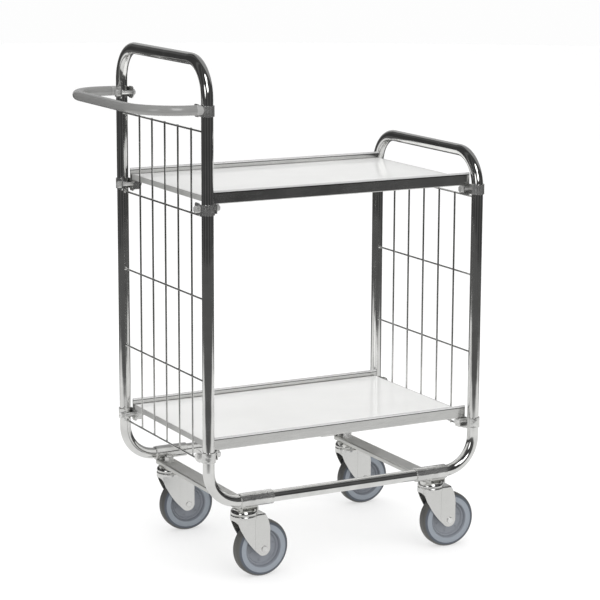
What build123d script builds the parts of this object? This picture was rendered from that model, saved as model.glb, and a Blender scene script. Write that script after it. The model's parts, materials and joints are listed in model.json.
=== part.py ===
from build123d import *
import math
import os

# Two-shelf tubular cart: two bent end frames with wire grilles, a push handle on the taller
# end, two boards held in side rails, and four swivel casters under two cross-channels.
# Millimetres, +Z up, +X away from the push handle. The origin is on the floor, under the
# middle of the overall length with the handle included.

# ---- Driving dimensions: tube frame ----
POST_X = 326.0            # post axes from the middle of the four posts, lengthwise
POST_Y = 215.5            # and crosswise
TUBE_R = 12.5
TUBE_WALL = 1.5
TALL_TOP_Z = 1109.0       # axis of the tall loop's top
LOW_TOP_Z = 884.5         # axis of the low loop's top
BASE_Z = 180.6            # axis of the bottom tubes
TOP_BEND_R = 75.0
BASE_BEND_R = 72.0
FOOT_END_X = 217.0        # where an end frame's foot stops inside its sleeve
SIDE_TUBE_HALF = 215.0
SLEEVE_R = 15.5
SLEEVE_MIN_X = 178.0
SLEEVE_MAX_X = 254.0

# ---- Cross-channels under the bottom tubes ----
CHANNEL_WIDTH = 40.0
CHANNEL_HEIGHT = 10.0
CHANNEL_SHEET = 3.0
CHANNEL_LENGTH = 436.0
CHANNEL_TOP_Z = BASE_Z - SLEEVE_R
CHANNEL_BOTTOM_Z = CHANNEL_TOP_Z - CHANNEL_HEIGHT

# ---- Wire grilles ----
WIRE_R = 2.0
TALL_END_LOWEST_WIRE_Z = 268.4
LOW_END_LOWEST_WIRE_Z = 266.1
WIRE_STEP_Z = 173.9
TALL_WIRE_ROWS = 5
LOW_WIRE_ROWS = 4
UPRIGHT_WIRES = 5
UPRIGHT_STEP_Y = 65.2

# ---- Shelves ----
SHELF_TOPS = {"upper": 842.0, "lower": 319.5}   # top edge of the side rails
RAIL_HEIGHT = 28.0
RAIL_SHEET = 2.0
RAIL_OUTER_Y = 199.0
RAIL_FLANGE = 24.0
RAIL_HEM_WIDTH = 4.5
RAIL_HEM_DEPTH = 9.0
SHELF_HALF_LENGTH = 313.0
RAIL_PAST_BOARD = 2.5          # how far the rails run on past the board at each end
BOARD_THICKNESS = 12.0
BOARD_GAP = 0.5
EDGE_STRIP = 2.0

# ---- Tube clamps ----
CLAMP_SHEET = 2.5
CLAMP_BORE_R = TUBE_R + 0.05
CLAMP_OUTER_R = CLAMP_BORE_R + CLAMP_SHEET
BAND_HEIGHT = 22.0
BAND_ABOVE_RAIL_FOOT = 4.0     # how far the band's top stands over the rail's underside
BAND_REACH_Y = 200.0           # the band's legs run in to here
EAR_MIN_Y = 186.0
EAR_MAX_Y = 206.0
EAR_HEIGHT = 26.0
EAR_ABOVE_BAND = 2.0
EAR_CORNER_R = 4.0
LOW_EAR_HEIGHT = 22.6
BOLT_R = 4.0
BOLT_Y = 197.0
BOLT_HOLE_R = 4.3
BOLT_DROP = 11.7               # bolt axis below the band's top
HEX_FLATS = 13.0
BOLT_HEAD = 5.5
NUT_HEIGHT = 6.5
BOLT_TIP = 2.0                 # thread standing past the nut
BRACKET_LENGTH = 12.5
BRACKET_SHEET = 2.5
BRACKET_HEIGHT = 19.0
BRACKET_OUTER_Y = 204.0
SEAT_GAP = 0.1                 # slack between stacked pieces

# ---- Push handle ----
HANDLE_R = 10.5
HANDLE_WALL = 1.5
HANDLE_REACH = 136.0           # post axis to grip axis, measured level
HANDLE_POST_Z = 1011.2         # where the leg axes would meet the post axes
HANDLE_TILT = 0.9
HANDLE_BEND_R = 95.0
FERRULE_LENGTH = 11.0
FERRULE_PLUG = 14.0            # the plug ends where the leg starts to bend
HANDLE_BAND_TOP_Z = 1020.0

# ---- Casters: local x is the trail direction, the swivel axis is at local x = 0 ----
CASTER_X = {-1: 230.4, 1: 235.0}   # swivel axes from the middle of the posts, rear and front
CASTER_Y = 189.0
TRAIL = 40.0
WHEEL_R = 62.5
TYRE_HALF_WIDTH = 15.0
TYRE_SHOULDER_R = 10.0
RIM_R = 51.0
RIM_HALF_WIDTH = 14.8
RING_R = 41.5             # inner edge of the rim's outer ring
SHOULDER_HALF_WIDTH = 8.5
WEB_R = 33.0
WEB_HALF_WIDTH = 5.0
DIMPLE_RING_R = 28.0
DIMPLE_R = 2.5
DIMPLE_DEPTH = 1.2
DIMPLE_COUNT = 6
DIMPLE_START = 15
HUB_R = 14.0
HUB_HALF_WIDTH = 15.9
RIM_EDGE = 1.0                 # chamfer on the hub's and the ring's edges
WEB_EDGE = 1.5                 # first step of the fillet between hub and web
WEB_SLOPE = 3.0                # radial run of the slope at each end of the shoulder
SPACER_R = 6.0
RUNNING_GAP = 0.05
CHEEK_INNER_Y = 16.2
CHEEK_SHEET = 2.5
CHEEK_STEP = 0.7               # the cheek's rear panel is pressed out by this much
CHEEK_STEP_X = 18.0
# Fork side outline in local x and z: front shoulder, swept front edge, toe, rear edge.
CHEEK_FRONT_TOP_X = -22.0
CHEEK_FRONT_SHOULDER = (-22.0, 124.5)
CHEEK_SWEEP_MIDDLE = (-4.8, 89.5)
CHEEK_TOE_FRONT = (25.0, 54.0)
# The skirt's lower edge over the same x, from the front of the head back to the cheek.
SKIRT_EDGE = ((-30.0, 130.6), (-27.0, 129.8), (-24.5, 127.6), (-22.0, 124.5))
CHEEK_TOE_BOTTOM = (40.0, 48.0)
CHEEK_TOE_REAR = (53.5, 64.0)
CHEEK_REAR_EDGE_TOP = (53.5, 97.0)
CHEEK_REAR_SHOULDER = (51.0, 121.0)
CROWN_TOP_Z = 143.0
CROWN_SHEET = 3.0
CROWN_REAR_X = 42.5
CROWN_LIP = 0.6                # how far the crown's turned-down edge stands over the cheeks
CROWN_EDGE_R = 4.5
HEAD_R = 29.0
HEAD_SHEET = 2.5
HEAD_SKIRT_BOTTOM_Z = 134.5
CAP_GAP = 0.5                  # daylight between the fixed cap and the turning crown
CAP_R = 28.8
CAP_FLAT_R = 22.5
CAP_ROUND = 2.2                # how far the cap's rounded edge swells past a straight one
CAP_SHOULDER_Z = 146.0
BALL_R = 3.0
BALL_RING_R = 19.5
BALL_COUNT = 12
BALL_CLEARANCE = 0.3
KINGPIN_R = 6.0
KINGPIN_HEAD_R = 11.0
KINGPIN_HEAD_Z = 130.5
KINGPIN_HEAD = 4.5
KINGPIN_HOLE_R = KINGPIN_R + 0.2
THRUST_WASHER_R = 15.0
WASHER_R = 12.0
WASHER_HEIGHT = 2.0
KINGPIN_NUT_FLATS = 19.0
KINGPIN_NUT = 8.0
KINGPIN_TIP = 2.5              # thread standing past the nut
KINGPIN_TOP_Z = CHANNEL_TOP_Z + WASHER_HEIGHT + KINGPIN_NUT + KINGPIN_TIP
AXLE_R = 4.0
AXLE_HEAD_R = 6.8
AXLE_HEAD = 3.0
AXLE_HEAD_ROUND = 1.2

# How each caster stands: lengthwise side, crosswise side, and the swivel angle of its trail.
CASTERS = {
    "rear_right": (-1, -1, 2.0),
    "rear_left": (-1, 1, -3.0),
    "front_right": (1, -1, -4.0),
    "front_left": (1, 1, -1.0),
}

# The furthest points lengthwise are the grip and the clamp bolts' tips.
REAR_REACH = POST_X + HANDLE_REACH + HANDLE_R
FRONT_REACH = POST_X + CLAMP_OUTER_R + NUT_HEIGHT + BOLT_TIP
MID_X = (REAR_REACH - FRONT_REACH) / 2

os.makedirs("parts", exist_ok=True)


def at(x, y, z):
    """A point given from the middle of the four posts."""
    return (MID_X + x, y, z)


def along_x(x, y, z):
    """Plane at a point, facing +X, with its own x along +Y and y along +Z."""
    return Plane(origin=at(x, y, z), x_dir=(0, 1, 0), z_dir=(1, 0, 0))


def level(x, y, z):
    """Horizontal plane at a point."""
    return Plane(origin=at(x, y, z), x_dir=(1, 0, 0), z_dir=(0, 0, 1))


def save(builder, name):
    builder.part.label = name
    export_step(builder.part, "parts/" + name + ".step")


# ---- Tube frame ----
def bent_tube(points, radii, radius, wall):
    """A round tube along straight runs joined by bends."""
    with BuildPart() as tube:
        with BuildLine() as path:
            FilletPolyline(*points, radius=radii)
        with BuildSketch(Plane(origin=path.line @ 0, z_dir=path.line % 0)):
            Circle(radius)
            Circle(radius - wall, mode=Mode.SUBTRACT)
        sweep()
    return tube


def end_frame(side, top_z):
    """One tube: an upside-down U whose two feet turn in towards the middle of the cart."""
    post = side * POST_X
    foot = side * FOOT_END_X
    points = [
        at(foot, -POST_Y, BASE_Z),
        at(post, -POST_Y, BASE_Z),
        at(post, -POST_Y, top_z),
        at(post, POST_Y, top_z),
        at(post, POST_Y, BASE_Z),
        at(foot, POST_Y, BASE_Z),
    ]
    radii = [BASE_BEND_R, TOP_BEND_R, TOP_BEND_R, BASE_BEND_R]
    return bent_tube(points, radii, TUBE_R, TUBE_WALL)


save(end_frame(-1, TALL_TOP_Z), "tall_end_frame")
save(end_frame(1, LOW_TOP_Z), "low_end_frame")

for side_name, side_y in (("right", -1), ("left", 1)):
    with BuildPart() as side_tube:
        with BuildSketch(along_x(-SIDE_TUBE_HALF, side_y * POST_Y, BASE_Z)):
            Circle(TUBE_R)
            Circle(TUBE_R - TUBE_WALL, mode=Mode.SUBTRACT)
        extrude(amount=2 * SIDE_TUBE_HALF)
    save(side_tube, side_name + "_side_tube")

    with BuildPart() as sleeves:
        for start in (-SLEEVE_MAX_X, SLEEVE_MIN_X):
            with BuildSketch(along_x(start, side_y * POST_Y, BASE_Z)):
                Circle(SLEEVE_R)
                Circle(CLAMP_BORE_R, mode=Mode.SUBTRACT)
            extrude(amount=SLEEVE_MAX_X - SLEEVE_MIN_X)
    save(sleeves, side_name + "_tube_sleeves")

# ---- Cross-channels: open downwards, one caster under each end ----
for end_name, end_x in (("rear", -1), ("front", 1)):
    with BuildPart() as channel:
        channel_start = Plane(
            origin=at(end_x * CASTER_X[end_x], CHANNEL_LENGTH / 2, CHANNEL_TOP_Z),
            x_dir=(1, 0, 0),
            z_dir=(0, -1, 0),
        )
        with BuildSketch(channel_start):
            outer = Rectangle(CHANNEL_WIDTH, CHANNEL_HEIGHT, align=(Align.CENTER, Align.MAX))
            fillet(outer.vertices().sort_by(Axis.Y)[-2:], CHANNEL_SHEET)
            with Locations((0, -CHANNEL_SHEET)):
                Rectangle(
                    CHANNEL_WIDTH - 2 * CHANNEL_SHEET,
                    CHANNEL_HEIGHT,
                    align=(Align.CENTER, Align.MAX),
                    mode=Mode.SUBTRACT,
                )
        extrude(amount=CHANNEL_LENGTH)
        with BuildSketch(level(end_x * CASTER_X[end_x], 0, CHANNEL_TOP_Z)):
            with Locations((0, -CASTER_Y), (0, CASTER_Y)):
                Circle(KINGPIN_R + RUNNING_GAP)
        extrude(amount=-CHANNEL_SHEET, mode=Mode.SUBTRACT)
    save(channel, end_name + "_cross_channel")


# ---- Wire grilles: cross wires between the posts, upright wires on their inner side ----
def cross_wires(side, rows, lowest_z):
    with BuildPart() as wires:
        for row in range(rows):
            wire_start = Plane(
                origin=at(side * POST_X, -POST_Y, lowest_z + row * WIRE_STEP_Z),
                z_dir=(0, 1, 0),
            )
            with BuildSketch(wire_start):
                Circle(WIRE_R)
            extrude(amount=2 * POST_Y)
        with BuildSketch(level(side * POST_X, 0, 0)):
            with Locations((0, -POST_Y), (0, POST_Y)):
                Circle(TUBE_R)
        extrude(amount=TALL_TOP_Z, mode=Mode.SUBTRACT)
    return wires


def upright_wires(side, rows, lowest_z):
    with BuildPart() as wires:
        with BuildSketch(level(side * (POST_X - 2 * WIRE_R), 0, lowest_z - WIRE_R)):
            with GridLocations(0, UPRIGHT_STEP_Y, 1, UPRIGHT_WIRES):
                Circle(WIRE_R)
        extrude(amount=(rows - 1) * WIRE_STEP_Z + 2 * WIRE_R)
    return wires


for wire_end, wire_side, wire_rows, lowest_wire_z in (
    ("tall_end", -1, TALL_WIRE_ROWS, TALL_END_LOWEST_WIRE_Z),
    ("low_end", 1, LOW_WIRE_ROWS, LOW_END_LOWEST_WIRE_Z),
):
    save(cross_wires(wire_side, wire_rows, lowest_wire_z), wire_end + "_cross_wires")
    save(upright_wires(wire_side, wire_rows, lowest_wire_z), wire_end + "_upright_wires")


# ---- Shelves ----
def side_rail(side_y, top_z):
    """A long-side rail: a web with a rolled top edge and a foot that carries the board."""
    foot_z = top_z - RAIL_HEIGHT
    outer = RAIL_OUTER_Y
    hem_r = RAIL_HEM_WIDTH / 2
    hem_inner = outer - RAIL_HEM_WIDTH
    web_inner = outer - RAIL_SHEET
    half_length = SHELF_HALF_LENGTH + RAIL_PAST_BOARD
    section = Plane(origin=at(-half_length, 0, 0), x_dir=(0, side_y, 0), z_dir=(side_y, 0, 0))
    with BuildPart() as rail:
        with BuildSketch(section):
            with BuildLine():
                Polyline(
                    (hem_inner, top_z - hem_r),
                    (hem_inner, top_z - RAIL_HEM_DEPTH),
                    (web_inner, top_z - RAIL_HEM_DEPTH),
                    (web_inner, foot_z + RAIL_SHEET),
                    (outer - RAIL_FLANGE, foot_z + RAIL_SHEET),
                    (outer - RAIL_FLANGE, foot_z),
                    (outer - RAIL_SHEET, foot_z),
                )
                RadiusArc((outer - RAIL_SHEET, foot_z), (outer, foot_z + RAIL_SHEET), -RAIL_SHEET)
                Line((outer, foot_z + RAIL_SHEET), (outer, top_z - hem_r))
                RadiusArc((outer, top_z - hem_r), (hem_inner, top_z - hem_r), -hem_r)
            make_face()
        extrude(amount=side_y * 2 * half_length)
    return rail


BOARD_HALF_WIDTH = RAIL_OUTER_Y - RAIL_HEM_WIDTH - BOARD_GAP

for shelf_name, shelf_top in SHELF_TOPS.items():
    save(side_rail(-1, shelf_top), shelf_name + "_right_rail")
    save(side_rail(1, shelf_top), shelf_name + "_left_rail")
    with BuildPart() as board:
        with BuildSketch(level(0, 0, shelf_top - RAIL_HEIGHT + RAIL_SHEET)):
            Rectangle(2 * (SHELF_HALF_LENGTH - EDGE_STRIP), 2 * BOARD_HALF_WIDTH)
        extrude(amount=BOARD_THICKNESS)
    save(board, shelf_name + "_board")

with BuildPart() as strips:
    for shelf_top in SHELF_TOPS.values():
        strip_z = shelf_top - RAIL_HEIGHT + RAIL_SHEET
        for end_x in (-1, 1):
            with BuildSketch(level(end_x * (SHELF_HALF_LENGTH - EDGE_STRIP / 2), 0, strip_z)):
                Rectangle(EDGE_STRIP, 2 * BOARD_HALF_WIDTH)
            extrude(amount=BOARD_THICKNESS)
save(strips, "board_edge_strips")


# ---- Tube clamps: a strap round the post with two ears drawn together by one bolt ----
def add_clamp(post_x, side_y, band_top, ear_spans):
    """Adds one clamp to the open part. ear_spans lists each ear's x side, lowest and highest z."""
    post_y = side_y * POST_Y
    leg = POST_Y - BAND_REACH_Y
    with BuildSketch(level(post_x, post_y, band_top - BAND_HEIGHT)) as band:
        Circle(CLAMP_OUTER_R)
        with Locations((0, -side_y * leg / 2)):
            Rectangle(2 * CLAMP_OUTER_R, leg)
        Circle(CLAMP_BORE_R, mode=Mode.SUBTRACT)
        with Locations((0, -side_y * leg)):
            Rectangle(2 * CLAMP_BORE_R, 2 * leg, mode=Mode.SUBTRACT)
    extrude(band.sketch, amount=BAND_HEIGHT)
    ear_y = side_y * (EAR_MIN_Y + EAR_MAX_Y) / 2
    ear_mid_r = (CLAMP_BORE_R + CLAMP_OUTER_R) / 2
    for ear_side, low, high in ear_spans:
        ear_x = post_x + ear_side * ear_mid_r - CLAMP_SHEET / 2
        with BuildSketch(along_x(ear_x, ear_y, (low + high) / 2)) as ear:
            RectangleRounded(EAR_MAX_Y - EAR_MIN_Y, high - low, EAR_CORNER_R)
        extrude(ear.sketch, amount=CLAMP_SHEET)
    with BuildSketch(along_x(post_x - CLAMP_OUTER_R, side_y * BOLT_Y, band_top - BOLT_DROP)) as hole:
        Circle(BOLT_HOLE_R)
    extrude(hole.sketch, amount=2 * CLAMP_OUTER_R, mode=Mode.SUBTRACT)


def shelf_clamp_ears(end_x, rail_foot):
    """The ear beside the shelf stays under the rail, the outer one stands a little higher."""
    tall_top = rail_foot + BAND_ABOVE_RAIL_FOOT + EAR_ABOVE_BAND
    low_top = rail_foot - SEAT_GAP
    return [(end_x, tall_top - EAR_HEIGHT, tall_top), (-end_x, low_top - LOW_EAR_HEIGHT, low_top)]


SHELF_POSTS = [(end_x, side_y) for end_x in (-1, 1) for side_y in (-1, 1)]

for shelf_name, shelf_top in SHELF_TOPS.items():
    rail_foot = shelf_top - RAIL_HEIGHT
    with BuildPart() as clamps:
        for end_x, side_y in SHELF_POSTS:
            ears = shelf_clamp_ears(end_x, rail_foot)
            add_clamp(end_x * POST_X, side_y, rail_foot + BAND_ABOVE_RAIL_FOOT, ears)
    save(clamps, shelf_name + "_shelf_clamps")

# Folded brackets under the rail ends: a C open outwards, with an end plate for the bolt.
BRACKET_END_X = POST_X - CLAMP_OUTER_R - SEAT_GAP - BRACKET_LENGTH
BRACKET_WIDTH = BRACKET_OUTER_Y - EAR_MIN_Y

with BuildPart() as brackets:
    for shelf_top in SHELF_TOPS.values():
        bracket_top = shelf_top - RAIL_HEIGHT - SEAT_GAP
        bracket_z = bracket_top - BRACKET_HEIGHT / 2
        bolt_z = shelf_top - RAIL_HEIGHT + BAND_ABOVE_RAIL_FOOT - BOLT_DROP
        for end_x, side_y in SHELF_POSTS:
            bracket_y = side_y * (EAR_MIN_Y + BRACKET_OUTER_Y) / 2
            with BuildSketch(along_x(end_x * BRACKET_END_X, bracket_y, bracket_z)):
                Rectangle(BRACKET_WIDTH, BRACKET_HEIGHT)
                with Locations((side_y * BRACKET_SHEET, 0)):
                    Rectangle(BRACKET_WIDTH, BRACKET_HEIGHT - 2 * BRACKET_SHEET, mode=Mode.SUBTRACT)
            extrude(amount=end_x * BRACKET_LENGTH)
            with BuildSketch(along_x(end_x * BRACKET_END_X, bracket_y, bracket_z)):
                Rectangle(BRACKET_WIDTH, BRACKET_HEIGHT)
                with Locations((side_y * BOLT_Y - bracket_y, bolt_z - bracket_z)):
                    Circle(BOLT_HOLE_R, mode=Mode.SUBTRACT)
            extrude(amount=end_x * BRACKET_SHEET)
save(brackets, "rail_end_brackets")

with BuildPart() as handle_clamps:
    for side_y in (-1, 1):
        ear_low = HANDLE_BAND_TOP_Z - (BAND_HEIGHT + EAR_HEIGHT) / 2
        ears = [(ear_side, ear_low, ear_low + EAR_HEIGHT) for ear_side in (-1, 1)]
        add_clamp(-POST_X, side_y, HANDLE_BAND_TOP_Z, ears)
save(handle_clamps, "handle_clamps")


# ---- Clamp bolts and nuts, all pointing forwards ----
def add_bolt(seat_x, side_y, z, length):
    """Adds a bolt to the open part: hex head behind seat_x, shank in front of it."""
    with BuildSketch(along_x(seat_x - BOLT_HEAD, side_y * BOLT_Y, z)) as head:
        RegularPolygon(HEX_FLATS / 2, 6, major_radius=False, rotation=30)
    extrude(head.sketch, amount=BOLT_HEAD)
    with BuildSketch(along_x(seat_x, side_y * BOLT_Y, z)) as shank:
        Circle(BOLT_R)
    extrude(shank.sketch, amount=length)


def add_nut(seat_x, side_y, z):
    """Adds a nut to the open part, in front of seat_x."""
    with BuildSketch(along_x(seat_x, side_y * BOLT_Y, z)) as ring:
        RegularPolygon(HEX_FLATS / 2, 6, major_radius=False, rotation=30)
        Circle(BOLT_R, mode=Mode.SUBTRACT)
    extrude(ring.sketch, amount=NUT_HEIGHT)


REAR_CLAMP_SEAT_X = -POST_X - CLAMP_OUTER_R
FRONT_CLAMP_SEAT_X = POST_X + CLAMP_OUTER_R
SHELF_BOLT_LENGTH = FRONT_CLAMP_SEAT_X - BRACKET_END_X + NUT_HEIGHT + BOLT_TIP
HANDLE_BOLT_LENGTH = 2 * CLAMP_OUTER_R + NUT_HEIGHT + BOLT_TIP

with BuildPart() as shelf_bolts:
    for shelf_top in SHELF_TOPS.values():
        bolt_z = shelf_top - RAIL_HEIGHT + BAND_ABOVE_RAIL_FOOT - BOLT_DROP
        for side_y in (-1, 1):
            add_bolt(REAR_CLAMP_SEAT_X, side_y, bolt_z, SHELF_BOLT_LENGTH)
            add_bolt(BRACKET_END_X, side_y, bolt_z, SHELF_BOLT_LENGTH)
save(shelf_bolts, "shelf_clamp_bolts")

with BuildPart() as shelf_nuts:
    for shelf_top in SHELF_TOPS.values():
        bolt_z = shelf_top - RAIL_HEIGHT + BAND_ABOVE_RAIL_FOOT - BOLT_DROP
        for side_y in (-1, 1):
            add_nut(-BRACKET_END_X, side_y, bolt_z)
            add_nut(FRONT_CLAMP_SEAT_X, side_y, bolt_z)
save(shelf_nuts, "shelf_clamp_nuts")

HANDLE_BOLT_Z = HANDLE_BAND_TOP_Z - BOLT_DROP

with BuildPart() as handle_bolts:
    for side_y in (-1, 1):
        add_bolt(REAR_CLAMP_SEAT_X, side_y, HANDLE_BOLT_Z, HANDLE_BOLT_LENGTH)
save(handle_bolts, "handle_clamp_bolts")

with BuildPart() as handle_nuts:
    for side_y in (-1, 1):
        add_nut(-POST_X + CLAMP_OUTER_R, side_y, HANDLE_BOLT_Z)
save(handle_nuts, "handle_clamp_nuts")

# ---- Push handle: a U of coated tube, tilted up a little towards the grip ----
tilt = math.radians(HANDLE_TILT)
handle_plane = Plane(
    origin=at(-POST_X, 0, HANDLE_POST_Z),
    x_dir=(-math.cos(tilt), 0, math.sin(tilt)),
    z_dir=(math.sin(tilt), 0, math.cos(tilt)),
)
leg_start = CLAMP_OUTER_R + FERRULE_LENGTH
grip_line = HANDLE_REACH / math.cos(tilt)
handle_corners = [
    handle_plane.from_local_coords((leg_start, -POST_Y, 0)),
    handle_plane.from_local_coords((grip_line, -POST_Y, 0)),
    handle_plane.from_local_coords((grip_line, POST_Y, 0)),
    handle_plane.from_local_coords((leg_start, POST_Y, 0)),
]
save(bent_tube(handle_corners, [HANDLE_BEND_R, HANDLE_BEND_R], HANDLE_R, HANDLE_WALL), "push_handle")

# Ferrules: saddle ends, hollowed to sit on the clamp bands, with a plug inside each leg.
with BuildPart() as ferrules:
    # The handle plane's own Y runs towards the right-hand side.
    leg_plane = Plane(
        origin=handle_plane.from_local_coords((TUBE_R, -POST_Y, 0)),
        z_dir=handle_plane.x_dir,
    )
    with BuildSketch(leg_plane):
        Circle(HANDLE_R)
    extrude(amount=leg_start - TUBE_R)
    with BuildSketch(leg_plane):
        Circle(HANDLE_R - HANDLE_WALL - SEAT_GAP)
    extrude(amount=leg_start - TUBE_R + FERRULE_PLUG)
    # Room for the clamp band, its straight legs and its ears.
    leg_reach = POST_Y - EAR_MIN_Y
    with BuildSketch(level(-POST_X, POST_Y, HANDLE_POST_Z - EAR_HEIGHT)):
        Circle(CLAMP_OUTER_R + SEAT_GAP)
        with Locations((0, -leg_reach / 2)):
            Rectangle(2 * (CLAMP_OUTER_R + SEAT_GAP), leg_reach)
    extrude(amount=2 * EAR_HEIGHT, mode=Mode.SUBTRACT)
    mirror(about=Plane.XZ)
save(ferrules, "handle_ferrules")


# ---- Casters ----
def caster_plane(spec):
    """Level plane on the floor under the swivel axis, with x along the trail."""
    end_x, side_y, angle = spec
    turn = math.radians(angle)
    return Plane(
        origin=at(end_x * CASTER_X[end_x], side_y * CASTER_Y, 0),
        x_dir=(math.cos(turn), math.sin(turn), 0),
        z_dir=(0, 0, 1),
    )


def trail_plane(base, local_y):
    """Vertical plane along the trail that faces the caster's right: x trail, y up."""
    origin = base.from_local_coords((0, local_y, 0))
    return Plane(origin=origin, x_dir=base.x_dir, z_dir=-base.y_dir)


def axle_section_plane(base):
    """Plane through the axle's middle for turned wheel parts: x along the axle, y up."""
    origin = base.from_local_coords((TRAIL, 0, WHEEL_R))
    return Plane(origin=origin, x_dir=base.y_dir, z_dir=base.x_dir)


def axle_axis(base):
    return Axis(base.from_local_coords((TRAIL, 0, WHEEL_R)), base.y_dir)


CROWN_UNDER_Z = CROWN_TOP_Z - CROWN_SHEET
CHEEK_OUTER_Y = CHEEK_INNER_Y + CHEEK_SHEET
AXLE_SEAT_Y = CHEEK_OUTER_Y + CHEEK_STEP


def cheek_outline(plane):
    """Side outline of the fork: a swept front edge, a round toe and a rear edge that leans in."""
    with BuildSketch(plane) as outline:
        with BuildLine():
            Line((CROWN_REAR_X, CROWN_UNDER_Z), (CHEEK_FRONT_TOP_X, CROWN_UNDER_Z))
            Line((CHEEK_FRONT_TOP_X, CROWN_UNDER_Z), CHEEK_FRONT_SHOULDER)
            ThreePointArc(CHEEK_FRONT_SHOULDER, CHEEK_SWEEP_MIDDLE, CHEEK_TOE_FRONT)
            ThreePointArc(CHEEK_TOE_FRONT, CHEEK_TOE_BOTTOM, CHEEK_TOE_REAR)
            Line(CHEEK_TOE_REAR, CHEEK_REAR_EDGE_TOP)
            ThreePointArc(CHEEK_REAR_EDGE_TOP, CHEEK_REAR_SHOULDER, (CROWN_REAR_X, CROWN_UNDER_Z))
        make_face()
        with Locations((TRAIL, WHEEL_R)):
            Circle(AXLE_R + RUNNING_GAP, mode=Mode.SUBTRACT)
    return outline.sketch


def head_outline(base, z, inset):
    """Keyhole outline of the fork's head, drawn smaller by inset."""
    with BuildSketch(base.offset(z)) as outline:
        Circle(HEAD_R - inset)
        with Locations((CROWN_REAR_X / 2, 0)):
            Rectangle(CROWN_REAR_X - 2 * inset, 2 * (AXLE_SEAT_Y + CROWN_LIP - inset))
    return outline.sketch


def head_skirt(base):
    """The front of the head drawn down to meet the cheeks' swept edges."""
    lowest = CHEEK_FRONT_SHOULDER[1]
    with BuildPart() as skirt:
        with BuildSketch(base.offset(lowest)):
            Circle(HEAD_R)
            Circle(HEAD_R - HEAD_SHEET, mode=Mode.SUBTRACT)
        extrude(amount=CROWN_UNDER_Z - lowest)
        with BuildSketch(trail_plane(base, 0)):
            with BuildLine():
                Spline(*SKIRT_EDGE)
                Polyline(
                    SKIRT_EDGE[-1],
                    (CHEEK_FRONT_TOP_X, CROWN_UNDER_Z),
                    (SKIRT_EDGE[0][0], CROWN_UNDER_Z),
                    SKIRT_EDGE[0],
                )
            make_face()
        extrude(amount=HEAD_R, both=True, mode=Mode.INTERSECT)
    return skirt.part


def fork(base):
    """Pressed swivel fork: crown with a turned-down edge, and two cheeks with a stepped panel."""
    with BuildPart() as body:
        extrude(
            head_outline(base, HEAD_SKIRT_BOTTOM_Z, 0),
            amount=CROWN_TOP_Z - HEAD_SKIRT_BOTTOM_Z,
        )
        crown = body.faces().sort_by(Axis.Z)[-1]
        fillet(crown.outer_wire().edges(), CROWN_EDGE_R)
        extrude(
            head_outline(base, HEAD_SKIRT_BOTTOM_Z, HEAD_SHEET),
            amount=CROWN_UNDER_Z - HEAD_SKIRT_BOTTOM_Z,
            mode=Mode.SUBTRACT,
        )
        with BuildSketch(base.offset(CROWN_UNDER_Z)):
            Circle(KINGPIN_R + RUNNING_GAP)
        extrude(amount=CROWN_SHEET, mode=Mode.SUBTRACT)
        add(head_skirt(base))
        for side in (-1, 1):
            extrude(cheek_outline(trail_plane(base, side * CHEEK_INNER_Y)), amount=-side * CHEEK_SHEET)
            panel_plane = trail_plane(base, side * CHEEK_OUTER_Y)
            with BuildSketch(panel_plane):
                add(cheek_outline(Plane.XY))
                with Locations((CHEEK_STEP_X, 0)):
                    Rectangle(
                        CROWN_TOP_Z,
                        2 * CROWN_TOP_Z,
                        align=(Align.MIN, Align.CENTER),
                        mode=Mode.INTERSECT,
                    )
            extrude(amount=-side * CHEEK_STEP)
    return body


def wheel_rim(base):
    """Moulded rim: long hub, recessed web with a raised shoulder, and a broad outer ring."""
    half = [
        (-HUB_HALF_WIDTH, SPACER_R + RUNNING_GAP),
        (-HUB_HALF_WIDTH, HUB_R - RIM_EDGE),
        (-HUB_HALF_WIDTH + RIM_EDGE, HUB_R),
        (-WEB_HALF_WIDTH - WEB_EDGE, HUB_R + WEB_EDGE),
        (-WEB_HALF_WIDTH, HUB_R + WEB_EDGE + WEB_SLOPE),
        (-WEB_HALF_WIDTH, WEB_R),
        (-SHOULDER_HALF_WIDTH, WEB_R + WEB_SLOPE),
        (-SHOULDER_HALF_WIDTH, WEB_R + 2 * WEB_SLOPE),
        (-RIM_HALF_WIDTH + RIM_EDGE, RING_R),
        (-RIM_HALF_WIDTH, RING_R + RIM_EDGE),
        (-RIM_HALF_WIDTH, RIM_R),
    ]
    other_half = [(-x, r) for x, r in reversed(half)]
    with BuildPart() as rim:
        with BuildSketch(axle_section_plane(base)):
            with BuildLine():
                Polyline(*half, *other_half, close=True)
            make_face()
        revolve(axis=axle_axis(base))
        for side in (-1, 1):
            web_face = trail_plane(base, side * (WEB_HALF_WIDTH - DIMPLE_DEPTH))
            with BuildSketch(web_face):
                with Locations((TRAIL, WHEEL_R)):
                    with PolarLocations(DIMPLE_RING_R, DIMPLE_COUNT, start_angle=DIMPLE_START):
                        Circle(DIMPLE_R)
            extrude(amount=-side * DIMPLE_DEPTH, mode=Mode.SUBTRACT)
    return rim


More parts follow.
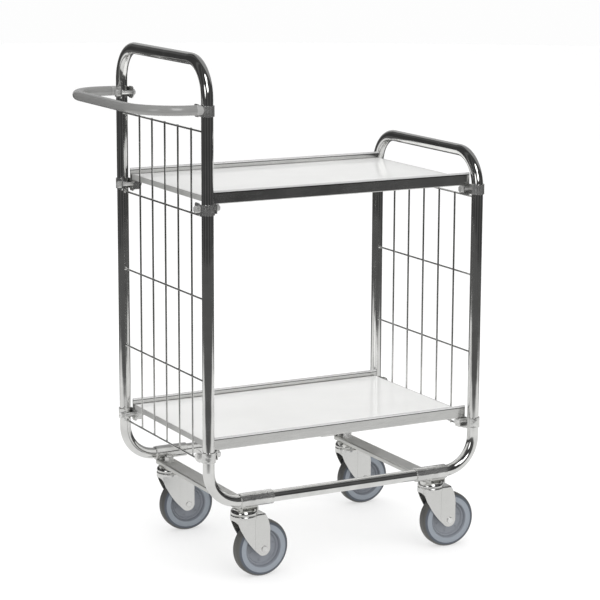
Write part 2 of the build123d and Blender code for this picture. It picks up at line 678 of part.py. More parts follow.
def tyre(base):
    """Solid tyre with a narrow flat tread and fully rounded shoulders."""
    edge = TYRE_HALF_WIDTH
    tread = TYRE_HALF_WIDTH - TYRE_SHOULDER_R
    inner_r = RIM_R + RUNNING_GAP
    shoulder_r = WHEEL_R - TYRE_SHOULDER_R
    bulge = TYRE_SHOULDER_R * math.sqrt(0.5)
    with BuildPart() as ring:
        with BuildSketch(axle_section_plane(base)):
            with BuildLine():
                Polyline((-edge, shoulder_r), (-edge, inner_r), (edge, inner_r), (edge, shoulder_r))
                ThreePointArc((edge, shoulder_r), (tread + bulge, shoulder_r + bulge), (tread, WHEEL_R))
                Line((tread, WHEEL_R), (-tread, WHEEL_R))
                ThreePointArc((-tread, WHEEL_R), (-tread - bulge, shoulder_r + bulge), (-edge, shoulder_r))
            make_face()
        revolve(axis=axle_axis(base))
    return ring


def axle_bolt(base):
    """Round-headed axle bolt, head on the caster's right."""
    with BuildPart() as bolt:
        with BuildSketch(trail_plane(base, -AXLE_SEAT_Y)):
            with Locations((TRAIL, WHEEL_R)):
                Circle(AXLE_HEAD_R)
        extrude(amount=AXLE_HEAD)
        fillet(bolt.edges().sort_by(Axis(base.origin, base.y_dir))[0], AXLE_HEAD_ROUND)
        with BuildSketch(trail_plane(base, -AXLE_SEAT_Y)):
            with Locations((TRAIL, WHEEL_R)):
                Circle(AXLE_R)
        extrude(amount=-2 * AXLE_SEAT_Y - NUT_HEIGHT - BOLT_TIP)
    return bolt


def axle_nut(base):
    with BuildPart() as nut:
        with BuildSketch(trail_plane(base, AXLE_SEAT_Y)):
            with Locations((TRAIL, WHEEL_R)):
                RegularPolygon(HEX_FLATS / 2, 6, major_radius=False)
                Circle(AXLE_R, mode=Mode.SUBTRACT)
        extrude(amount=-NUT_HEIGHT)
    return nut


def axle_spacer(base):
    """Steel tube between the cheeks that the wheel turns on."""
    half_length = CHEEK_INNER_Y - SEAT_GAP
    with BuildPart() as spacer:
        with BuildSketch(trail_plane(base, -half_length)):
            with Locations((TRAIL, WHEEL_R)):
                Circle(SPACER_R)
                Circle(AXLE_R + RUNNING_GAP, mode=Mode.SUBTRACT)
        extrude(amount=-2 * half_length)
    return spacer


for caster_name, caster_spec in CASTERS.items():
    base_plane = caster_plane(caster_spec)
    save(fork(base_plane), caster_name + "_fork")
    save(axle_bolt(base_plane), caster_name + "_axle_bolt")
    save(axle_nut(base_plane), caster_name + "_axle_nut")
    save(axle_spacer(base_plane), caster_name + "_axle_spacer")
    save(wheel_rim(base_plane), caster_name + "_wheel_rim")
    save(tyre(base_plane), caster_name + "_tyre")

# ---- Fixed half of the swivel heads, one solid for each caster ----
CASTER_BASES = [caster_plane(spec) for spec in CASTERS.values()]
BALL_Z = CROWN_TOP_Z + BALL_CLEARANCE + BALL_R
CAP_UNDER_Z = BALL_Z + BALL_R + SEAT_GAP

with BuildPart() as caps:
    for base_plane in CASTER_BASES:
        with BuildSketch(trail_plane(base_plane, 0)):
            with BuildLine():
                ThreePointArc(
                    (CAP_FLAT_R, CHANNEL_BOTTOM_Z),
                    (
                        (CAP_FLAT_R + CAP_R + CAP_ROUND) / 2,
                        (CHANNEL_BOTTOM_Z + CAP_SHOULDER_Z + CAP_ROUND) / 2,
                    ),
                    (CAP_R, CAP_SHOULDER_Z),
                )
                Polyline(
                    (CAP_R, CAP_SHOULDER_Z),
                    (CAP_R, CROWN_TOP_Z + CAP_GAP),
                    (CAP_R - HEAD_SHEET, CROWN_TOP_Z + CAP_GAP),
                    (CAP_R - HEAD_SHEET, CAP_UNDER_Z),
                    (KINGPIN_HOLE_R, CAP_UNDER_Z),
                    (KINGPIN_HOLE_R, CHANNEL_BOTTOM_Z),
                    (CAP_FLAT_R, CHANNEL_BOTTOM_Z),
                )
            make_face()
        revolve(axis=Axis(base_plane.origin, (0, 0, 1)))
save(caps, "caster_caps")

with BuildPart() as balls:
    for base_plane in CASTER_BASES:
        with Locations(base_plane.offset(BALL_Z)):
            with PolarLocations(BALL_RING_R, BALL_COUNT):
                Sphere(BALL_R)
save(balls, "caster_balls")

with BuildPart() as kingpins:
    for base_plane in CASTER_BASES:
        with BuildSketch(base_plane.offset(KINGPIN_HEAD_Z)):
            Circle(KINGPIN_HEAD_R)
        extrude(amount=KINGPIN_HEAD)
        with BuildSketch(base_plane.offset(KINGPIN_HEAD_Z + KINGPIN_HEAD)):
            Circle(KINGPIN_R)
        extrude(amount=KINGPIN_TOP_Z - KINGPIN_HEAD_Z - KINGPIN_HEAD)
save(kingpins, "caster_kingpins")

with BuildPart() as thrust_washers:
    for base_plane in CASTER_BASES:
        with BuildSketch(base_plane.offset(KINGPIN_HEAD_Z + KINGPIN_HEAD)):
            Circle(THRUST_WASHER_R)
            Circle(KINGPIN_HOLE_R, mode=Mode.SUBTRACT)
        extrude(amount=CROWN_UNDER_Z - KINGPIN_HEAD_Z - KINGPIN_HEAD - BALL_CLEARANCE)
save(thrust_washers, "caster_thrust_washers")

with BuildPart() as mounting_washers:
    for base_plane in CASTER_BASES:
        with BuildSketch(base_plane.offset(CHANNEL_TOP_Z)):
            Circle(WASHER_R)
            Circle(KINGPIN_HOLE_R, mode=Mode.SUBTRACT)
        extrude(amount=WASHER_HEIGHT)
save(mounting_washers, "caster_mounting_washers")

with BuildPart() as mounting_nuts:
    for end_x, side_y, _ in CASTERS.values():
        nut_x = end_x * CASTER_X[end_x]
        with BuildSketch(level(nut_x, side_y * CASTER_Y, CHANNEL_TOP_Z + WASHER_HEIGHT)):
            RegularPolygon(KINGPIN_NUT_FLATS / 2, 6, major_radius=False)
            Circle(KINGPIN_R, mode=Mode.SUBTRACT)
        extrude(amount=KINGPIN_NUT)
save(mounting_nuts, "caster_mounting_nuts")
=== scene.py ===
import json
import math

import bmesh
import bpy
from mathutils import Matrix, Vector


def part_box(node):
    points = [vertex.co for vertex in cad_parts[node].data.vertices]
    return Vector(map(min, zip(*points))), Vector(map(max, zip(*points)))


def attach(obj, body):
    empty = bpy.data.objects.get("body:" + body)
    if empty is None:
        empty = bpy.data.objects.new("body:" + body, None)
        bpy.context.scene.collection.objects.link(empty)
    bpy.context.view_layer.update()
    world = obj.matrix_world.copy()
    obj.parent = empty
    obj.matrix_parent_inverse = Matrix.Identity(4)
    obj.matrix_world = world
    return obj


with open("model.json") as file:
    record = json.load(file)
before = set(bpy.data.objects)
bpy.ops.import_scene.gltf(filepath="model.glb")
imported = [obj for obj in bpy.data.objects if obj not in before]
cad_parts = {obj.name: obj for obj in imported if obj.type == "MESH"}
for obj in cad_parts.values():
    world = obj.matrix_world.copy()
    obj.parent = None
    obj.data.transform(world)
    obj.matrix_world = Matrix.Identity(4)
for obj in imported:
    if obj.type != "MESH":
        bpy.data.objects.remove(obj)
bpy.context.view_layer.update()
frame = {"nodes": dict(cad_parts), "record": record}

# ---- Camera -------------------------------------------------------------------------------
CAMERA_PLACE = (-2.18585, -4.2017, 1.5025)
CAMERA_TURN = -28.186     # about the vertical, degrees
CAMERA_TILT = 78.713      # from straight down
CAMERA_ROLL = 0.243
CAMERA_LENS = 131.49      # mm
SENSOR_WIDTH = 36


def rotation(axis, degrees):
    return Matrix.Rotation(math.radians(degrees), 4, axis)


def add_camera():
    camera_data = bpy.data.cameras.new("camera")
    camera_data.lens = CAMERA_LENS
    camera_data.sensor_width = SENSOR_WIDTH
    camera = bpy.data.objects.new("camera", camera_data)
    bpy.context.scene.collection.objects.link(camera)
    camera.matrix_world = (
        rotation("Z", CAMERA_TURN) @ rotation("X", CAMERA_TILT) @ rotation("Z", CAMERA_ROLL)
    )
    camera.location = CAMERA_PLACE
    bpy.context.scene.camera = camera


add_camera()
bpy.context.scene.view_settings.view_transform = "Standard"


# ---- Colours and node helpers ---------------------------------------------------------------
def rgb(r, g, b):
    return (r, g, b, 1.0)


def grey(value):
    return rgb(value, value, value)


class Tree:
    """Short calls for building a node tree."""

    def __init__(self, tree):
        self.tree = tree

    def link(self, value, socket):
        self.tree.links.new(value, socket)

    def add(self, kind, inputs=None, **settings):
        """A new node. inputs gives a socket or a plain value for each of its inputs."""
        node = self.tree.nodes.new(kind)
        for key, value in settings.items():
            setattr(node, key, value)
        for key, value in (inputs or {}).items():
            if isinstance(value, bpy.types.NodeSocket):
                self.link(value, node.inputs[key])
            else:
                node.inputs[key].default_value = value
        return node

    def object_place(self):
        return self.add("ShaderNodeTexCoord").outputs["Object"]

    def math(self, operation, a, b=0.0):
        return self.add("ShaderNodeMath", {0: a, 1: b}, operation=operation).outputs[0]

    def dot(self, vector, axis):
        node = self.add("ShaderNodeVectorMath", {0: vector, 1: axis}, operation="DOT_PRODUCT")
        return node.outputs["Value"]

    def ramp(self, value, low, high, low_out=0.0, high_out=1.0):
        """A smooth step. With low above high it runs the other way."""
        node = self.add(
            "ShaderNodeMapRange",
            {"Value": value, 1: low, 2: high, 3: low_out, 4: high_out},
            interpolation_type="SMOOTHSTEP",
        )
        return node.outputs["Result"]

    def mix(self, factor, a, b):
        colour_sockets = {0: factor, 6: a, 7: b}
        return self.add("ShaderNodeMix", colour_sockets, data_type="RGBA").outputs[2]

    def noise(self, vector, scale, detail=2.0, roughness=0.5, stretch=None):
        if stretch:
            vector = self.add("ShaderNodeMapping", {"Vector": vector, "Scale": stretch}).outputs[0]
        node = self.add(
            "ShaderNodeTexNoise",
            {"Vector": vector, "Scale": scale, "Detail": detail, "Roughness": roughness},
        )
        return node.outputs["Fac"]

    def bump(self, height, distance, normal):
        node = self.add("ShaderNodeBump", {
            "Strength": 1.0, "Distance": distance, "Height": height, "Normal": normal})
        return node.outputs[0]


# ---- Studio: what the metal sees ------------------------------------------------------------
BACK = (0.459, 0.888, 0.0)      # level direction from the camera towards the cart
SIDE = (0.888, -0.459, 0.0)     # level direction to the camera's right

ROOM_TONES = (0.045, 0.095)     # dark room, and its faint upright strips
STRIP_COUNT = 7.0
STRIP_EDGE = (0.2, 0.95)

# Bright areas, each a direction (back, side, up), the cosines where it begins and where it is
# full, and its brightness.
BRIGHT_AREAS = (
    ((0.6, 0.45, 0.66), 0.79, 0.85, 0.29),         # pale ceiling to the right of the cart
    ((0.97, 0.0, 0.24), 0.86, 0.93, 0.42),         # pale wall behind the cart
    ((-0.84, 0.34, 0.40), 0.972, 0.984, 3.2),      # tall soft box behind the camera, lower part
    ((-0.62, 0.28, 0.74), 0.972, 0.984, 3.2),      # the same soft box, upper part
    ((-0.83, -0.50, 0.20), 0.974, 0.986, 1.6),     # low soft box on the left
)
EVEN_LIGHT = 0.98       # what paint, paper and rubber get from all round
BACKDROP = 0.985


def studio_direction(back, side, up):
    vector = [back * b + side * s for b, s in zip(BACK, SIDE)]
    vector[2] = up
    length = math.sqrt(sum(v * v for v in vector))
    return tuple(v / length for v in vector)


def build_world():
    world = bpy.data.worlds.new("studio")
    world.use_nodes = True
    bpy.context.scene.world = world
    world.node_tree.nodes.clear()
    t = Tree(world.node_tree)
    ray = t.add("ShaderNodeTexCoord").outputs["Generated"]
    heading = t.math("ARCTAN2", t.dot(ray, SIDE), t.dot(ray, BACK))
    strips = t.math("SINE", t.math("MULTIPLY", heading, STRIP_COUNT))
    colour = t.mix(t.ramp(strips, *STRIP_EDGE), grey(ROOM_TONES[0]), grey(ROOM_TONES[1]))
    for direction, begins, full, level in BRIGHT_AREAS:
        mask = t.ramp(t.dot(ray, studio_direction(*direction)), begins, full)
        colour = t.mix(mask, colour, grey(level))
    path = t.add("ShaderNodeLightPath")
    colour = t.mix(path.outputs["Is Diffuse Ray"], colour, grey(EVEN_LIGHT))
    colour = t.mix(path.outputs["Is Camera Ray"], colour, grey(BACKDROP))
    background = t.add("ShaderNodeBackground", {"Color": colour})
    output = t.add("ShaderNodeOutputWorld")
    t.link(background.outputs[0], output.inputs["Surface"])


build_world()

# Area lights: name, place, the height on the cart's axis they point at, diameter and power.
AREA_LIGHTS = (
    ("top_light", (0.2, 0.4, 4.2), 0.4, 4.0, 34),
    ("left_light", (-3.8, -2.4, 2.6), 0.5, 2.6, 26),
    ("right_light", (2.6, -3.6, 2.4), 0.5, 2.6, 34),
    ("back_light", (1.2, 4.2, 2.2), 0.5, 3.0, 12),
)


def add_area_light(name, place, target_height, size, power):
    light_data = bpy.data.lights.new(name, "AREA")
    light_data.shape = "DISK"
    light_data.size = size
    light_data.energy = power
    light = bpy.data.objects.new(name, light_data)
    bpy.context.scene.collection.objects.link(light)
    light.location = place
    aim = Vector((0, 0, target_height)) - Vector(place)
    light.rotation_euler = aim.to_track_quat("-Z", "Y").to_euler()
    light.visible_glossy = False
    light.visible_camera = False


for light_row in AREA_LIGHTS:
    add_area_light(*light_row)

# ---- Floor ----------------------------------------------------------------------------------
DISC_SIDES = 96
FLOOR_RADIUS = 14.0
FLOOR_TONES = (0.46, 0.48)
FLOOR_GLOW = 0.52           # half the paper's brightness is its own, which keeps shadows pale
PATCH_RADIUS = 4.0
PATCH_Z = -0.001            # just under the floor, so that the two never fight
PATCH_WIDENING = 1.9        # the patch is this much longer across the view than along it
PATCH_EDGE = (1.05, 1.42)   # where its brightness begins and ends falling, m from the cart
PATCH_LEVELS = (0.80, 0.10)


def disc_mesh(name, radius, z):
    mesh = bpy.data.meshes.new(name)
    bm = bmesh.new()
    bmesh.ops.create_circle(bm, cap_ends=True, radius=radius, segments=DISC_SIDES)
    bmesh.ops.translate(bm, verts=bm.verts, vec=(0, 0, z))
    bm.to_mesh(mesh)
    bm.free()
    disc = bpy.data.objects.new(name, mesh)
    bpy.context.scene.collection.objects.link(disc)
    return disc


def principled(name):
    """A new material, its tree, and the sockets of its shader."""
    material = bpy.data.materials.new(name)
    material.use_nodes = True
    shader = material.node_tree.nodes["Principled BSDF"]
    return material, Tree(material.node_tree), shader.inputs


def build_floor():
    """White paper, which the camera and the matt surfaces see."""
    floor = disc_mesh("floor", FLOOR_RADIUS, 0.0)
    material, t, sockets = principled("floor_paper")
    sockets["Roughness"].default_value = 0.9
    sockets["Specular IOR Level"].default_value = 0.1
    clouds = t.noise(t.object_place(), 3.0, 4.0)
    t.link(t.mix(clouds, grey(FLOOR_TONES[0]), grey(FLOOR_TONES[1])), sockets["Base Color"])
    sockets["Emission Color"].default_value = grey(1.0)
    sockets["Emission Strength"].default_value = FLOOR_GLOW
    floor.data.materials.append(material)
    floor.visible_glossy = False


def build_floor_reflection():
    """The lit patch of paper that only the metal mirrors, brightest near the cart."""
    patch = disc_mesh("floor_reflection", PATCH_RADIUS, PATCH_Z)
    material = bpy.data.materials.new("floor_patch")
    material.use_nodes = True
    material.node_tree.nodes.clear()
    t = Tree(material.node_tree)
    place = t.object_place()
    across = t.math("DIVIDE", t.dot(place, SIDE), PATCH_WIDENING)
    deep = t.dot(place, BACK)
    reach = t.math("SQRT", t.math(
        "ADD", t.math("MULTIPLY", across, across), t.math("MULTIPLY", deep, deep)))
    level = t.ramp(reach, *PATCH_EDGE, *PATCH_LEVELS)
    emission = t.add("ShaderNodeEmission", {"Color": rgb(1.0, 1.0, 0.99), "Strength": level})
    output = t.add("ShaderNodeOutputMaterial")
    t.link(emission.outputs[0], output.inputs["Surface"])
    patch.data.materials.append(material)
    patch.visible_camera = False
    patch.visible_diffuse = False
    patch.visible_shadow = False
    patch.visible_transmission = False


build_floor()
build_floor_reflection()

# ---- Materials ------------------------------------------------------------------------------
EDGE_ROUNDING = 0.0004      # m, how far the shading rounds sharp edges
METAL_CLOUDS = 22.0         # noise scales, per metre
METAL_GRAIN = 420.0
COATING_CLOUDS = 9.0
EVEN = (1.0, 1.0, 1.0)
ALONG_X = (0.1, 1.0, 1.0)   # draws the grain out along the length of the rails


def rounded_edges(t):
    return t.add("ShaderNodeBevel", {"Radius": EDGE_ROUNDING}, samples=4).outputs[0]


def finish_metal(name, tones, rough, ripple, grain, stretch=EVEN, metallic=1.0):
    """Bare or plated metal: cloudy tone, uneven gloss, a slow ripple and a fine drawn grain.

    ripple is its height and its noise scale, and grain is a height.
    """
    material, t, sockets = principled(name)
    place = t.object_place()
    sockets["Metallic"].default_value = metallic
    cloud = t.noise(place, METAL_CLOUDS, 3.0)
    fine = t.noise(place, METAL_GRAIN, 2.0, stretch=stretch)
    t.link(t.mix(t.ramp(cloud, 0.35, 0.65), *tones), sockets["Base Color"])
    blend = t.math("ADD", t.math("MULTIPLY", cloud, 0.6), t.math("MULTIPLY", fine, 0.4))
    t.link(t.ramp(blend, 0.3, 0.7, *rough), sockets["Roughness"])
    ripple_height, ripple_scale = ripple
    slow = t.bump(
        t.noise(place, ripple_scale, 1.5, stretch=stretch), ripple_height, rounded_edges(t))
    t.link(t.bump(fine, grain, slow), sockets["Normal"])
    return material


def coated(
        name, tones, rough, grain, grain_scale,
        specular=0.5, coat=0.0, coat_rough=0.1, tint=None):
    """Paint, laminate, plastic or rubber: mottled colour, uneven gloss and a fine surface.

    tint may change the colour from place to place.
    """
    material, t, sockets = principled(name)
    place = t.object_place()
    cloud = t.noise(place, COATING_CLOUDS, 4.0)
    fine = t.noise(place, grain_scale, 3.0, 0.6)
    colour = t.mix(t.ramp(cloud, 0.3, 0.7), *tones)
    if tint:
        colour = tint(t, place, colour)
    t.link(colour, sockets["Base Color"])
    t.link(t.ramp(fine, 0.3, 0.7, *rough), sockets["Roughness"])
    t.link(t.bump(fine, grain, rounded_edges(t)), sockets["Normal"])
    sockets["Specular IOR Level"].default_value = specular
    sockets["Coat Weight"].default_value = coat
    sockets["Coat Roughness"].default_value = coat_rough
    return material


METALS = {
    "tube_chrome": dict(
        tones=(rgb(0.74, 0.74, 0.73), rgb(0.82, 0.82, 0.81)), rough=(0.05, 0.11),
        ripple=(0.0009, 11.0), grain=0.00001),
    "wire_chrome": dict(
        tones=(rgb(0.62, 0.62, 0.61), rgb(0.72, 0.72, 0.71)), rough=(0.12, 0.22),
        ripple=(0.0003, 30.0), grain=0.00002),
    "clamp_zinc": dict(
        tones=(rgb(0.66, 0.66, 0.65), rgb(0.80, 0.80, 0.79)), rough=(0.1, 0.24),
        ripple=(0.0010, 60.0), grain=0.00002, metallic=0.92),
    "channel_zinc": dict(
        tones=(rgb(0.62, 0.62, 0.60), rgb(0.70, 0.70, 0.68)), rough=(0.3, 0.42),
        ripple=(0.0004, 30.0), grain=0.00003),
    "fork_zinc": dict(
        tones=(rgb(0.74, 0.74, 0.73), rgb(0.77, 0.77, 0.76)), rough=(0.2, 0.26),
        ripple=(0.0002, 30.0), grain=0.00001),
    "cap_zinc": dict(
        tones=(rgb(0.72, 0.72, 0.70), rgb(0.80, 0.80, 0.79)), rough=(0.1, 0.2),
        ripple=(0.0003, 60.0), grain=0.00002),
    "fastener_steel": dict(
        tones=(rgb(0.62, 0.62, 0.61), rgb(0.76, 0.76, 0.75)), rough=(0.18, 0.3),
        ripple=(0.0003, 90.0), grain=0.00003, metallic=0.6),
}
COATINGS = {
    "handle_coating": dict(
        tones=(rgb(0.215, 0.215, 0.21), rgb(0.24, 0.24, 0.235)), rough=(0.16, 0.26),
        grain=0.00002, grain_scale=900.0, coat=1.0, coat_rough=0.04),
    "ferrule_coating": dict(
        tones=(rgb(0.30, 0.30, 0.295), rgb(0.34, 0.34, 0.335)), rough=(0.3, 0.42),
        grain=0.00003, grain_scale=900.0),
    "board_laminate": dict(
        tones=(rgb(0.88, 0.88, 0.87), rgb(0.91, 0.91, 0.90)), rough=(0.1, 0.16),
        grain=0.000002, grain_scale=600.0, specular=0.45),
    "edge_plastic": dict(
        tones=(rgb(0.33, 0.33, 0.32), rgb(0.38, 0.38, 0.37)), rough=(0.45, 0.6),
        grain=0.00003, grain_scale=700.0),
}
MATERIALS = {name: finish_metal(name, **settings) for name, settings in METALS.items()}
MATERIALS.update({name: coated(name, **settings) for name, settings in COATINGS.items()})

# ---- Wheels: painted by distance from the axle and from the wheel's middle plane, in m ------
RING_GREY = rgb(0.24, 0.265, 0.298)
# Painted shade: a thin dark line at the step near the pale ring's inner edge, with its edges and
# strength below.
GROOVE_PAINTED_SHADE = rgb(0.09, 0.10, 0.12)
TYRE_SIDE_DARK = rgb(0.072, 0.083, 0.102)
RIM_RING = (0.0415, 0.0430)             # where the pale ring begins on the rim
GROOVE_INNER = (0.0372, 0.0388)
GROOVE_OUTER = (0.0412, 0.0394)
GROOVE_SHADE_AMOUNT = 0.35
TYRE_SIDE = (0.0122, 0.0142)            # where the tread turns into the sidewall
TYRE_RING = (0.0538, 0.0530)            # where the pale ring ends on the tyre


def wheel_joint(caster):
    joints = frame["record"]["behaviour"]["joints"]
    return next(joint for joint in joints if joint["name"] == caster + "_wheel_roll")


def wheel_measures(t, place, thing, joint):
    """Sockets for how far a point is from the axle and from the wheel's middle plane."""
    inverse = thing.matrix_world.inverted()
    centre = inverse @ Vector(joint["pos_m"])
    axle = (inverse.to_3x3() @ Vector(joint["axis"])).normalized()
    arm = t.add(
        "ShaderNodeVectorMath", {0: place, 1: tuple(centre)}, operation="SUBTRACT").outputs[0]
    across = t.dot(arm, tuple(axle))
    length = t.add("ShaderNodeVectorMath", {0: arm}, operation="LENGTH").outputs["Value"]
    square = t.math(
        "SUBTRACT", t.math("MULTIPLY", length, length), t.math("MULTIPLY", across, across))
    return t.math("SQRT", square), t.math("ABSOLUTE", across)


def rim_material(thing, caster):
    def tint(t, place, colour):
        radius, _ = wheel_measures(t, place, thing, wheel_joint(caster))
        ring = t.ramp(radius, *RIM_RING)
        # Painted shade in a thin dark line just inside the pale ring.
        groove_shade = t.math("MULTIPLY", t.ramp(radius, *GROOVE_INNER), t.ramp(radius, *GROOVE_OUTER))
        disc = t.mix(t.math("MULTIPLY", groove_shade, GROOVE_SHADE_AMOUNT), colour, GROOVE_PAINTED_SHADE)
        return t.mix(ring, disc, RING_GREY)

    return coated(
        "rim_plastic_" + thing.name, (rgb(0.195, 0.208, 0.235), rgb(0.225, 0.24, 0.265)),
        (0.34, 0.5), 0.00003, 500.0, tint=tint)


def tyre_material(thing, caster):
    def tint(t, place, colour):
        radius, across = wheel_measures(t, place, thing, wheel_joint(caster))
        side = t.mix(t.ramp(across, *TYRE_SIDE), colour, TYRE_SIDE_DARK)
        return t.mix(t.ramp(radius, *TYRE_RING), side, RING_GREY)

    return coated(
        "tyre_rubber_" + thing.name, (rgb(0.06, 0.06, 0.057), rgb(0.085, 0.085, 0.08)),
        (0.42, 0.6), 0.00005, 800.0, tint=tint)


# ---- Shelf rails: a painted highlight along the rolled edge, with a painted shadow line under the roll ---
PAINTED_HIGHLIGHT_EDGE = (0.0042, 0.0034)     # how far below the rail's top the painted highlight begins, m
PAINTED_SHADOW_EDGE = (0.0064, 0.0056)    # how far below it the painted shadow line begins
# Painted highlight: the light grey on the rolled edge stands in for its reflection; the dark grey
# under it is painted shadow.
PAINTED_HIGHLIGHT_GREY = 0.82
PAINTED_SHADOW_GREY = 0.2
PAINTED_HIGHLIGHT_METALLIC = 0.5


def rail_material(thing, node):
    material = finish_metal(
        "rail_zinc_painted_light_" + thing.name, (rgb(0.70, 0.70, 0.69), rgb(0.76, 0.76, 0.75)), (0.16, 0.24),
        (0.0003, 25.0), 0.00002, ALONG_X)
    t = Tree(material.node_tree)
    sockets = material.node_tree.nodes["Principled BSDF"].inputs
    height = t.dot(t.object_place(), (0.0, 0.0, 1.0))
    top = (thing.matrix_world.inverted() @ Vector(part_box(node)[1])).z
    highlight_low, highlight_high = (top - below for below in PAINTED_HIGHLIGHT_EDGE)
    shadow_low, shadow_high = (top - below for below in PAINTED_SHADOW_EDGE)
    # Painted highlight along the rolled edge, and painted shadow in a thin line just under it.
    painted_highlight = t.ramp(height, highlight_low, highlight_high)
    painted_shadow = t.math(
        "MULTIPLY", t.ramp(height, shadow_low, shadow_high), t.ramp(height, highlight_high, highlight_low))
    plain = sockets["Base Color"].links[0].from_socket
    colour = t.mix(painted_highlight, t.mix(painted_shadow, plain, grey(PAINTED_SHADOW_GREY)), grey(PAINTED_HIGHLIGHT_GREY))
    t.link(colour, sockets["Base Color"])
    # Less metallic under the painted highlight, so that its light grey shows.
    t.link(t.ramp(painted_highlight, 0.0, 1.0, 1.0, PAINTED_HIGHLIGHT_METALLIC), sockets["Metallic"])
    return material


# ---- Materials on the parts -----------------------------------------------------------------
RIM_ENDING = "_wheel_rim"
TYRE_ENDING = "_tyre"


def part_material(thing, node, slot_name):
    if node.endswith(RIM_ENDING):
        return rim_material(thing, node[:-len(RIM_ENDING)])
    if node.endswith(TYRE_ENDING):
        return tyre_material(thing, node[:-len(TYRE_ENDING)])
    if node.endswith("_rail"):
        return rail_material(thing, node)
    if node == "handle_ferrules":
        return MATERIALS["ferrule_coating"]
    return MATERIALS[slot_name]


def set_material(thing, material):
    if thing.material_slots:
        for material_slot in thing.material_slots:
            material_slot.material = material
    else:
        thing.data.materials.append(material)


for part in frame["record"]["subparts"]:
    part_object = frame["nodes"][part["node"]]
    set_material(part_object, part_material(part_object, part["node"], part["material_slot"]))

# ---- Welds ----------------------------------------------------------------------------------
WIRE_R = 0.002
CROSS_WIRES = {"tall_end": 5, "low_end": 4}
UPRIGHT_COUNT = 5
# Weld shapes, turned about their own axis: (distance along it, radius).
CONE = ((-0.0012, 0.0036), (0.0003, 0.0039), (0.0014, 0.0032), (0.003, 0.0025), (0.005, 0.00205))
SPOT = ((-0.0017, 0.0004), (-0.0012, 0.0017), (0.0, 0.0025), (0.0012, 0.0017), (0.0017, 0.0004))
CONE_LUMPS = 0.08
SPOT_LUMPS = 0.1
TURNED_SIDES = 14

SLEEVE_LENGTH = 0.076
BEAD_RING_R = 0.0131        # of the bead's middle line, round a sleeve's end
BEAD_R = 0.0009
BEAD_LUMPS = 0.22
BEAD_SIDES = 40
BEAD_TURNS = 8

SEAM_STEPS = 15             # ripples of the weld between a sleeve and a channel
SEAM_STEP = 0.0022
SEAM_R = 0.0021
SEAM_SWELL = 0.0004         # how much every second ripple is fatter
SEAM_TIP_R = 0.0006
SEAM_LENGTH = 0.0335
SEAM_HALF = 0.0168
SEAM_INSET = 0.0085         # from the tube's middle towards the cart's
SEAM_RISE = 0.0012          # above the channel's top
SEAM_SIDES = 12
SEAM_LUMPS = 0.07
SEAM_PROFILE = (
    (0.0, SEAM_TIP_R),
    *((0.001 + SEAM_STEP * k, SEAM_R + SEAM_SWELL * (k % 2)) for k in range(SEAM_STEPS)),
    (SEAM_LENGTH, SEAM_TIP_R),
)


def axis_frame(axis):
    axis = Vector(axis).normalized()
    first = axis.orthogonal().normalized()
    return axis, first, axis.cross(first)


def turned(bm, start, axis, profile, lumps, sides=TURNED_SIDES):
    """A lumpy solid turned about axis. profile lists (distance along it, radius); ends close."""
    axis, first, second = axis_frame(axis)
    rings = []
    for row, (along, radius) in enumerate(profile):
        ring = []
        for step in range(sides):
            angle = 2 * math.pi * step / sides
            swell = 1 + lumps * math.sin(3 * angle + 1.7 * row + 40 * start[0] + 90 * start[2])
            arm = (first * math.cos(angle) + second * math.sin(angle)) * radius * swell
            ring.append(bm.verts.new(Vector(start) + axis * along + arm))
        rings.append(ring)
    for low_ring, high_ring in zip(rings, rings[1:]):
        for step in range(sides):
            after = (step + 1) % sides
            bm.faces.new((low_ring[step], low_ring[after], high_ring[after], high_ring[step]))
    bm.faces.new(rings[0][::-1])
    bm.faces.new(rings[-1])


def ring_bead(bm, centre, axis):
    """A lumpy ring of weld round a tube."""
    axis, first, second = axis_frame(axis)
    rings = []
    for step in range(BEAD_SIDES):
        angle = 2 * math.pi * step / BEAD_SIDES
        out = first * math.cos(angle) + second * math.sin(angle)
        swell = BEAD_R * (1 + BEAD_LUMPS * math.sin(9 * angle + 60 * centre[0]))
        ring = []
        for turn in range(BEAD_TURNS):
            lean = 2 * math.pi * turn / BEAD_TURNS
            arm = out * (BEAD_RING_R + swell * math.cos(lean)) + axis * swell * math.sin(lean)
            ring.append(bm.verts.new(Vector(centre) + arm))
        rings.append(ring)
    for here, there in zip(rings, rings[1:] + rings[:1]):
        for turn in range(BEAD_TURNS):
            after = (turn + 1) % BEAD_TURNS
            bm.faces.new((here[turn], there[turn], there[after], here[after]))


def finish_piece(name, bm, slot_name):
    bmesh.ops.recalc_face_normals(bm, faces=bm.faces)
    mesh = bpy.data.meshes.new(name)
    bm.to_mesh(mesh)
    bm.free()
    for polygon in mesh.polygons:
        polygon.use_smooth = True
    piece = bpy.data.objects.new(name, mesh)
    bpy.context.scene.collection.objects.link(piece)
    mesh.materials.append(MATERIALS[slot_name])
    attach(piece, "frame")


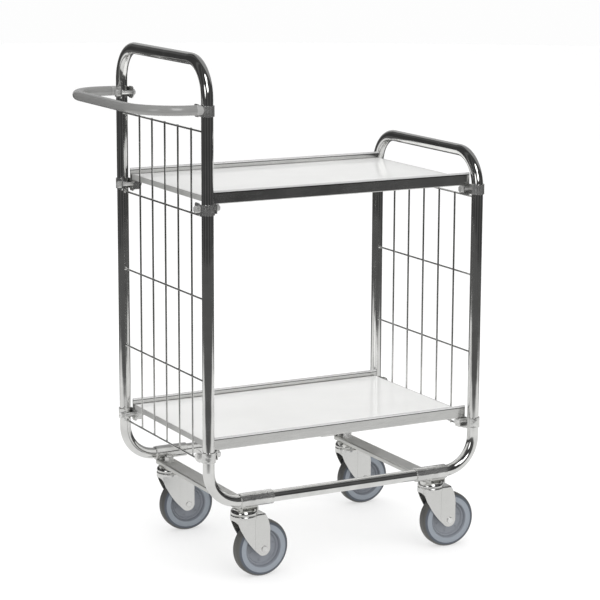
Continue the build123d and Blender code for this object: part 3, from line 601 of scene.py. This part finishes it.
def middle(name, axis):
    low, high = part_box(name)
    return (low[axis] + high[axis]) / 2


def weld_wires(end_name, rows):
    """Each cross wire is welded to the posts at its ends, and to every upright wire."""
    cross_low, cross_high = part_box(end_name + "_cross_wires")
    upright_low, upright_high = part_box(end_name + "_upright_wires")
    wire_x = middle(end_name + "_cross_wires", 0)
    contact_x = (wire_x + middle(end_name + "_upright_wires", 0)) / 2
    row_step = (cross_high[2] - cross_low[2] - 2 * WIRE_R) / (rows - 1)
    upright_step = (upright_high[1] - upright_low[1] - 2 * WIRE_R) / (UPRIGHT_COUNT - 1)
    bm = bmesh.new()
    for row in range(rows):
        row_z = cross_low[2] + WIRE_R + row * row_step
        for side_y in (-1, 1):
            end = (wire_x, side_y * cross_high[1], row_z)
            turned(bm, end, (0, -side_y, 0), CONE, CONE_LUMPS)
        for count in range(UPRIGHT_COUNT):
            cross_y = upright_low[1] + WIRE_R + count * upright_step
            turned(bm, (contact_x, cross_y, row_z), (1, 0, 0), SPOT, SPOT_LUMPS)
    finish_piece(end_name + "_wire_welds", bm, "wire_chrome")


def weld_sleeves():
    """Sleeves are welded to the tubes at their ends, and the channels to the sleeves."""
    bm = bmesh.new()
    for side_name in ("right", "left"):
        tube_y = middle(side_name + "_side_tube", 1)
        tube_z = middle(side_name + "_side_tube", 2)
        low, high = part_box(side_name + "_tube_sleeves")
        for end_x in (low[0], low[0] + SLEEVE_LENGTH, high[0] - SLEEVE_LENGTH, high[0]):
            ring_bead(bm, (end_x, tube_y, tube_z), (1, 0, 0))
        for channel in ("rear_cross_channel", "front_cross_channel"):
            start = (
                middle(channel, 0) - SEAM_HALF,
                tube_y - math.copysign(SEAM_INSET, tube_y),
                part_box(channel)[1][2] + SEAM_RISE,
            )
            turned(bm, start, (1, 0, 0), SEAM_PROFILE, SEAM_LUMPS, SEAM_SIDES)
    finish_piece("sleeve_welds", bm, "clamp_zinc")


for end_with_wires, row_count in CROSS_WIRES.items():
    weld_wires(end_with_wires, row_count)
weld_sleeves()
